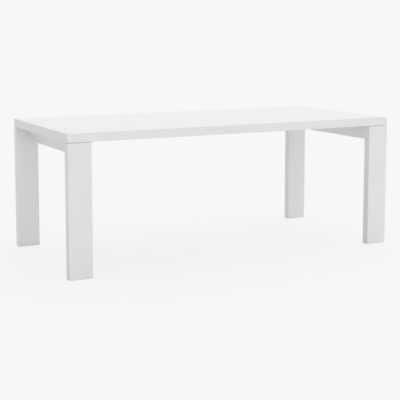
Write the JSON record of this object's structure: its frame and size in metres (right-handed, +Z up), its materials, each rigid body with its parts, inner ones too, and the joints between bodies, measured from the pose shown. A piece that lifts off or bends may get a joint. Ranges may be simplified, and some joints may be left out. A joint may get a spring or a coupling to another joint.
{
  "type": "parsons dining table",
  "caption": "Long white dining table: thick hollow-core top flush with flat board legs at the corners, set-back end aprons and adjustable feet.",
  "frame": {"origin": "on the floor, under the middle of the top", "axes": "+X along the table's length to the right, +Y from the front to the back, +Z up"},
  "size_m": [1.98, 0.915, 0.75],
  "materials": {
    "white_lacquer": "white lacquer, satin",
    "underside_paint": "white primer paint, matt",
    "pine": "planed",
    "beech": "planed",
    "galvanised_steel": "zinc plated, satin",
    "zinc_screws": "zinc plated, bright",
    "zinc_inserts": "die-cast zinc, dull",
    "black_bolts": "black oxide",
    "zinc_washers": "zinc plated, bright",
    "pad_plastic": "moulded nylon, matt",
    "stem_steel": "zinc plated, bright"
  },
  "bodies": {
    "table": {"top_skin": "white_lacquer", "edge_front": "white_lacquer", "edge_right": "white_lacquer", "edge_back": "white_lacquer", "edge_left": "white_lacquer", "leg_front_left": "white_lacquer", "leg_front_right": "white_lacquer", "leg_back_left": "white_lacquer", "leg_back_right": "white_lacquer", "end_apron_left": "white_lacquer", "end_apron_right": "white_lacquer", "bottom_skin": "underside_paint", "rail_front": "pine", "rail_back": "pine", "rail_left": "pine", "rail_right": "pine", "cross_rib_1": "pine", "cross_rib_2": "pine", "cross_rib_3": "pine", "cross_rib_4": "pine", "cross_rib_5": "pine", "cross_rib_6": "pine", "cross_rib_7": "pine", "cross_rib_8": "pine", "corner_block_front_left": "beech", "corner_block_front_right": "beech", "corner_block_back_left": "beech", "corner_block_back_right": "beech", "apron_dowels": "beech", "stiffener_front": "galvanised_steel", "stiffener_back": "galvanised_steel", "corner_plate_front_left": "galvanised_steel", "corner_plate_front_right": "galvanised_steel", "corner_plate_back_left": "galvanised_steel", "corner_plate_back_right": "galvanised_steel", "stiffener_screws": "zinc_screws", "plate_screws": "zinc_screws", "top_inserts": "zinc_inserts", "foot_inserts": "zinc_inserts", "top_bolts": "black_bolts", "top_bolt_washers": "zinc_washers"},
    "front_left_pad": {"foot_pad_front_left": "pad_plastic"},
    "front_left_stem": {"foot_stem_front_left": "stem_steel"},
    "front_right_pad": {"foot_pad_front_right": "pad_plastic"},
    "front_right_stem": {"foot_stem_front_right": "stem_steel"},
    "back_left_pad": {"foot_pad_back_left": "pad_plastic"},
    "back_left_stem": {"foot_stem_back_left": "stem_steel"},
    "back_right_pad": {"foot_pad_back_right": "pad_plastic"},
    "back_right_stem": {"foot_stem_back_right": "stem_steel"}
  },
  "joints": [
    {"name": "foot_slide_front_left", "type": "slide", "parent": "table", "child": "front_left_pad", "axis": [0, 0, -1], "range_m": [0, 0.01]},
    {"name": "foot_turn_front_left", "type": "hinge", "parent": "front_left_pad", "child": "front_left_stem", "pos_m": [-0.9265, -0.435, 0], "axis": [0, 0, -1], "range_deg": [0, 2881]},
    {"name": "foot_slide_front_right", "type": "slide", "parent": "table", "child": "front_right_pad", "axis": [0, 0, -1], "range_m": [0, 0.01]},
    {"name": "foot_turn_front_right", "type": "hinge", "parent": "front_right_pad", "child": "front_right_stem", "pos_m": [0.9265, -0.435, 0], "axis": [0, 0, -1], "range_deg": [0, 2881]},
    {"name": "foot_slide_back_left", "type": "slide", "parent": "table", "child": "back_left_pad", "axis": [0, 0, -1], "range_m": [0, 0.01]},
    {"name": "foot_turn_back_left", "type": "hinge", "parent": "back_left_pad", "child": "back_left_stem", "pos_m": [-0.9265, 0.435, 0], "axis": [0, 0, -1], "range_deg": [0, 2881]},
    {"name": "foot_slide_back_right", "type": "slide", "parent": "table", "child": "back_right_pad", "axis": [0, 0, -1], "range_m": [0, 0.01]},
    {"name": "foot_turn_back_right", "type": "hinge", "parent": "back_right_pad", "child": "back_right_stem", "pos_m": [0.9265, 0.435, 0], "axis": [0, 0, -1], "range_deg": [0, 2881]}
  ],
  "couplings": [
    {"joint": "foot_turn_front_left", "follows": "foot_slide_front_left", "rad_per_m": 5026.5},
    {"joint": "foot_turn_front_right", "follows": "foot_slide_front_right", "rad_per_m": 5026.5},
    {"joint": "foot_turn_back_left", "follows": "foot_slide_back_left", "rad_per_m": 5026.5},
    {"joint": "foot_turn_back_right", "follows": "foot_slide_back_right", "rad_per_m": 5026.5}
  ]
}
